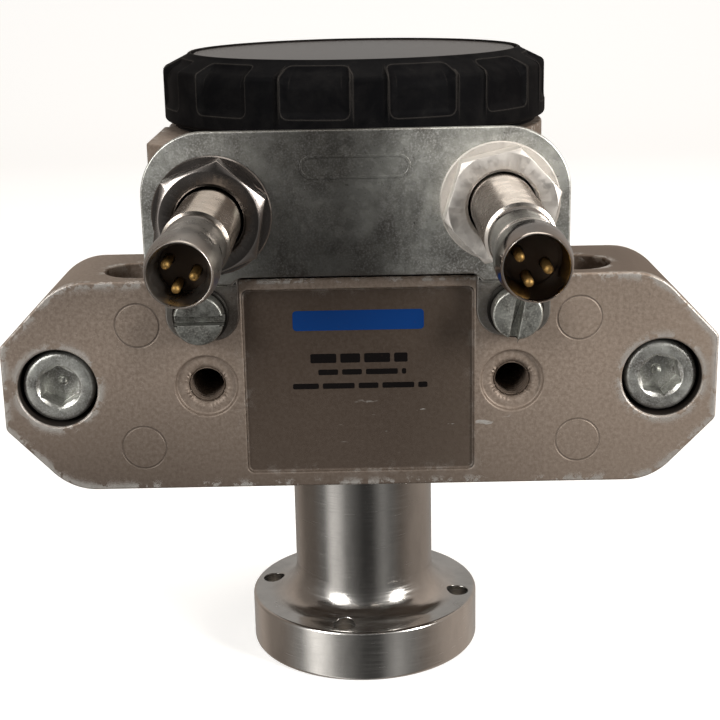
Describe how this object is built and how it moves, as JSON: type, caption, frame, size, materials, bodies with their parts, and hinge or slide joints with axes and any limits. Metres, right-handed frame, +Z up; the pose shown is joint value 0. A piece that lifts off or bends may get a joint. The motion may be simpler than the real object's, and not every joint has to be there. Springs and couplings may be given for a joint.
{
  "type": "rotary pneumatic actuator",
  "caption": "Vane rotary pneumatic actuator: cast body with ear plate and air ports, flanged output hub below, ribbed cover on top, and a bracket holding threaded proximity sensors.",
  "frame": {"origin": "centre of the output flange's lower face, on the shaft axis", "axes": "+Z up along the output shaft, +X along the ear plate to the right as seen from the port face, -Y out of the port face"},
  "size_m": [0.0946, 0.0983, 0.091],
  "materials": {
    "cast_housing": "die-cast aluminium with a fine champagne-brown stoved finish, chipped bare at its edges",
    "zinc": "galvanised steel, mottled and slightly dulled",
    "nickel": "nickel plated, polished at the plug end and finely threaded along the barrel",
    "turned_steel": "turned steel with fine lathe lines",
    "black_steel": "black oxide steel",
    "bronze": "sintered bronze",
    "gold_pins": "gold plated contacts",
    "dark_insert": "dark brown moulded contact carrier",
    "rubber": "black moulded rubber",
    "black_plastic": "matte black glass-filled plastic, dusty",
    "gloss_plastic": "glossy dark brown disc"
  },
  "bodies": {
    "housing": {"main_housing": "cast_housing", "upper_housing": "cast_housing", "separator": "cast_housing", "mounting_screw_left": "zinc", "mounting_screw_right": "zinc", "sensor_bracket": "zinc", "bracket_screw_left": "zinc", "bracket_screw_right": "zinc", "clinch_nut_left": "zinc", "clinch_nut_right": "zinc", "stop_screw_left": "zinc", "stop_screw_right": "zinc", "housing_screw_1": "zinc", "housing_screw_2": "zinc", "housing_screw_3": "zinc", "housing_screw_4": "zinc", "lock_washer_left": "nickel", "lock_washer_right": "nickel", "sensor_nut_left": "nickel", "sensor_nut_right": "nickel", "sensor_barrel_left": "nickel", "sensor_barrel_right": "nickel", "plug_shell_left": "nickel", "plug_shell_right": "nickel", "end_stop_left": "turned_steel", "end_stop_right": "turned_steel", "separator_pin_left": "turned_steel", "separator_pin_right": "turned_steel", "bracket_washer_left": "black_steel", "bracket_washer_right": "black_steel", "lower_bearing": "bronze", "upper_bearing": "bronze", "sensor_pin_left_1": "gold_pins", "sensor_pin_left_2": "gold_pins", "sensor_pin_left_3": "gold_pins", "sensor_pin_right_1": "gold_pins", "sensor_pin_right_2": "gold_pins", "sensor_pin_right_3": "gold_pins", "sensor_insert_left": "dark_insert", "sensor_insert_right": "dark_insert", "lower_shaft_seal": "rubber", "upper_shaft_seal": "rubber", "separator_seal": "rubber", "stop_buffer_left": "rubber", "stop_buffer_right": "rubber", "cover": "black_plastic", "cover_disc": "gloss_plastic"},
    "rotor": {"output_hub": "turned_steel", "drive_shaft": "turned_steel", "hub_key": "turned_steel", "hub_set_screw": "black_steel", "vane": "cast_housing", "vane_seal": "rubber", "vane_key": "turned_steel", "stop_lever": "turned_steel", "lever_pin": "turned_steel", "circlip": "black_steel"},
    "cam_left": {"trip_cam_left": "turned_steel"},
    "cam_right": {"trip_cam_right": "turned_steel"}
  },
  "joints": [
    {"name": "output_turn", "type": "hinge", "parent": "housing", "child": "rotor", "pos_m": [0, 0, 0], "axis": [0, 0, 1], "range_deg": [-78, 102]},
    {"name": "cam_left_set", "type": "hinge", "parent": "rotor", "child": "cam_left", "pos_m": [0, 0, 0.0747], "axis": [0, 0, 1], "range_deg": [-90, 90]},
    {"name": "cam_right_set", "type": "hinge", "parent": "rotor", "child": "cam_right", "pos_m": [0, 0, 0.0708], "axis": [0, 0, 1], "range_deg": [-90, 90]}
  ]
}
